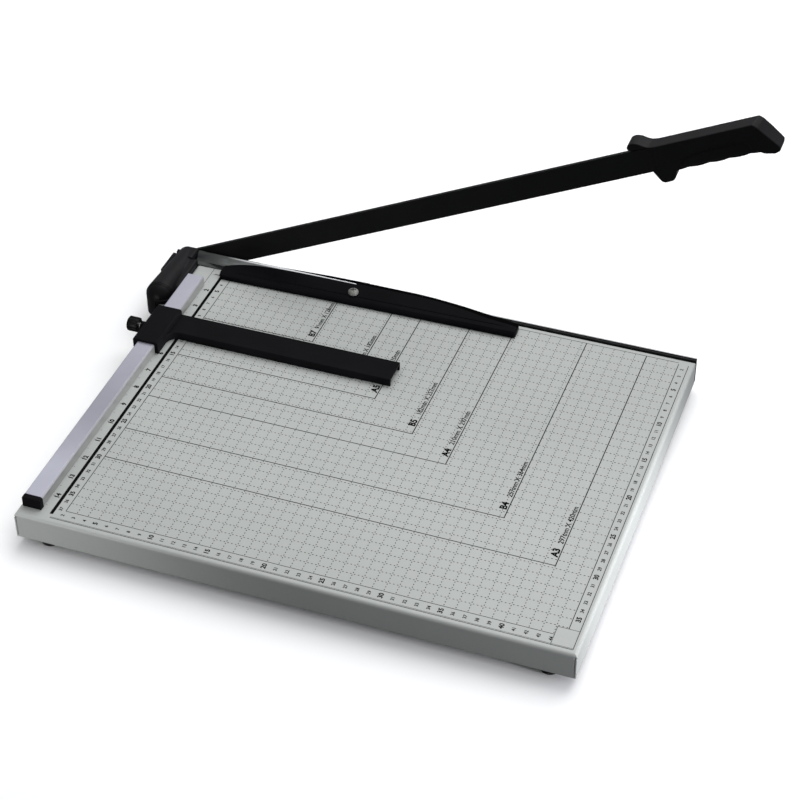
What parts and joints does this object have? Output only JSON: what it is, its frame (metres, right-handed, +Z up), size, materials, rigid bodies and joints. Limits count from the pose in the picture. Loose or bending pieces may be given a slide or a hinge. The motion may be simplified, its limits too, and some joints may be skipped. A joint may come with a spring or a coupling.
{
  "type": "guillotine paper cutter",
  "caption": "Desktop guillotine paper cutter: sheet steel table with a fence, sliding paper stop, finger guard and a long hinged blade arm with a grip.",
  "frame": {"origin": "datum corner on the table top, where the fence's inner face, the cutting plane and the table top meet", "axes": "+X along the cutting edge from the hinge towards the handle, +Y from the near side of the table towards the cutting edge, +Z up"},
  "size_m": [0.5638, 0.4031, 0.286],
  "materials": {
    "table_paint": "light grey powder coat, fine texture, semi-matt",
    "bare_steel": "zinc plated steel, satin",
    "foot_rubber": "black rubber, matt",
    "blade_black": "black oxide and paint, semi-gloss, ground cutting edge",
    "fence_aluminium": "satin anodised, pale lavender silver",
    "polished_steel": "polished spring steel, mirror-like with fine scratches",
    "black_plastic": "black ABS, finely grained",
    "bush_bronze": "sintered bronze, satin",
    "spring_steel": "oil-tempered spring wire",
    "knob_plastic": "black moulded plastic, slight gloss"
  },
  "bodies": {
    "table": {"base_tray": "table_paint", "underside_stiffeners": "table_paint", "rubber_feet": "foot_rubber", "foot_screws": "bare_steel", "foot_nuts": "bare_steel", "fixed_blade": "blade_black", "fixed_blade_screws": "bare_steel", "fence_rail": "fence_aluminium", "fence_end_cap": "black_plastic", "fence_screws": "bare_steel", "polished_guide_plate": "polished_steel", "guide_plate_screws": "bare_steel", "finger_guard": "black_plastic", "guard_screw": "bare_steel", "guard_nut": "bare_steel", "hinge_bracket": "blade_black", "hinge_bracket_screws": "bare_steel", "hinge_housing": "black_plastic", "housing_end_cap": "black_plastic", "housing_screws": "bare_steel", "pivot_shaft": "bare_steel", "pivot_washer": "bare_steel", "spring_cups": "bare_steel", "pivot_spring": "spring_steel", "pivot_lock_nut": "bare_steel"},
    "arm": {"blade_arm": "blade_black", "arm_bush": "bush_bronze", "handle_grip": "black_plastic", "handle_rivets": "blade_black"},
    "stop": {"paper_stop": "black_plastic", "clamp_nut": "bare_steel"},
    "knob": {"clamp_screw": "bare_steel", "clamp_knob": "knob_plastic"}
  },
  "joints": [
    {"name": "arm_hinge", "type": "hinge", "parent": "table", "child": "arm", "pos_m": [-0.033, 0.002, -0.01104], "axis": [0, -1, 0], "range_deg": [-24.6, 34.4]},
    {"name": "stop_slide", "type": "slide", "parent": "table", "child": "stop", "axis": [0, 1, 0], "range_m": [-0.214, 0.027]},
    {"name": "knob_turn", "type": "hinge", "parent": "stop", "child": "knob", "pos_m": [-0.034, -0.1247, 0.0038], "axis": [1, 0, 0], "range_deg": [-360, 0]}
  ]
}
